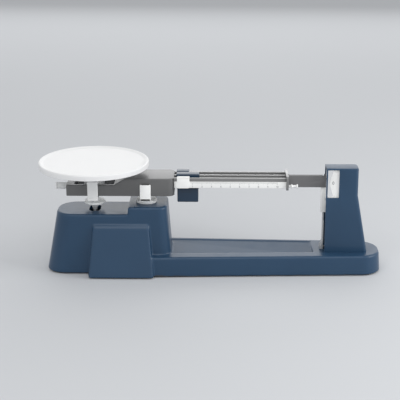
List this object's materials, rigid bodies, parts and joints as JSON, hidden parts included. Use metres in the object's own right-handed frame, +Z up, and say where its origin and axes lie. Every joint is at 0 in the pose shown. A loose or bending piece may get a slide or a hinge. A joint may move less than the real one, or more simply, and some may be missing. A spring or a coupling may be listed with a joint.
{
  "type": "triple beam balance",
  "caption": "Laboratory weighing balance: round pan on a tilting lever with graduated parallel beams, sliding poises and a pointer tower with a zero mark.",
  "frame": {"origin": "on the table at the middle of the whole outline, under the balance", "axes": "+X along the beams from the pan to the pointer tower, -Y towards the reader, +Z up"},
  "size_m": [0.4774, 0.1524, 0.157],
  "materials": {
    "base_paint": "satin blue-grey paint on a light alloy casting",
    "blue_paint": "satin blue-grey paint on a dense casting",
    "grey_casting": "matt grey die casting",
    "beam_metal": "satin drawn bar",
    "bright_metal": "bright satin plating",
    "vane_metal": "plain rolled sheet",
    "steel": "plain steel",
    "screw_steel": "zinc plated",
    "dark_steel": "dark hardened or blackened",
    "white_paint": "white enamel",
    "pan_metal": "bright satin spun metal",
    "support_metal": "bright satin casting",
    "foot_rubber": "matt black"
  },
  "bodies": {
    "base": {"base_casting": "base_paint", "bottom_cover": "dark_steel", "rubber_feet": "foot_rubber", "cover_screws": "screw_steel", "fulcrum_stand": "bright_metal", "fulcrum_stand_screw": "screw_steel", "fulcrum_bearings": "dark_steel", "check_bracket": "steel", "check_bracket_pin": "steel", "tower": "base_paint", "tower_screws": "screw_steel", "zero_plate": "white_paint", "damper_bracket": "steel", "damper_screw": "screw_steel", "damper_magnets": "dark_steel"},
    "beam": {"beam_casting": "grey_casting", "fulcrum_knife": "steel", "pan_knife": "steel", "rear_beam": "beam_metal", "middle_beam": "beam_metal", "front_beam": "beam_metal", "front_scale_strip": "white_paint", "end_bracket": "beam_metal", "beam_screw": "screw_steel", "weight_hanger": "bright_metal", "pointer_arm": "grey_casting", "pointer_blade": "white_paint", "damping_vane": "vane_metal", "vane_screw": "screw_steel", "zero_stud": "steel", "trim_weight": "dark_steel"},
    "pan_support": {"pan_yoke": "support_metal", "pan_bearings": "dark_steel", "yoke_foot": "bright_metal", "yoke_foot_screws": "screw_steel", "check_stem": "steel", "stem_pin": "steel"},
    "check_rod": {"check_rod": "steel"},
    "rear_poise": {"rear_poise": "blue_paint", "rear_poise_roller": "steel"},
    "middle_poise": {"middle_poise": "blue_paint", "middle_poise_roller": "steel"},
    "front_poise": {"front_poise": "white_paint"},
    "zero_knob": {"zero_knob": "bright_metal"},
    "pan": {"pan": "pan_metal", "pan_hub": "support_metal"}
  },
  "joints": [
    {"name": "beam_tilt", "type": "hinge", "parent": "base", "child": "beam", "pos_m": [-0.09015, 0, 0.1235], "axis": [0, -1, 0], "range_deg": [-2.2, 2.2]},
    {"name": "pan_support_level", "type": "hinge", "parent": "beam", "child": "pan_support", "pos_m": [-0.16255, 0, 0.1235], "axis": [0, -1, 0], "range_deg": [-2.3, 2.3]},
    {"name": "check_rod_swing", "type": "hinge", "parent": "base", "child": "check_rod", "pos_m": [-0.09015, 0, 0.0475], "axis": [0, -1, 0], "range_deg": [-2.3, 2.3]},
    {"name": "rear_poise_slide", "type": "slide", "parent": "beam", "child": "rear_poise", "axis": [1, 0, 0], "range_m": [0, 0.1317]},
    {"name": "middle_poise_slide", "type": "slide", "parent": "beam", "child": "middle_poise", "axis": [1, 0, 0], "range_m": [0, 0.1172]},
    {"name": "front_poise_slide", "type": "slide", "parent": "beam", "child": "front_poise", "axis": [1, 0, 0], "range_m": [0, 0.1292]},
    {"name": "zero_knob_turn", "type": "hinge", "parent": "beam", "child": "zero_knob", "pos_m": [-0.2081, 0, 0.1202], "axis": [1, 0, 0], "continuous": true},
    {"name": "pan_lift", "type": "slide", "parent": "pan_support", "child": "pan", "axis": [0, 0, 1], "range_m": [0, 0.04]}
  ],
  "couplings": [
    {"joint": "pan_support_level", "follows": "beam_tilt", "ratio": -1},
    {"joint": "check_rod_swing", "follows": "beam_tilt", "ratio": 1}
  ]
}
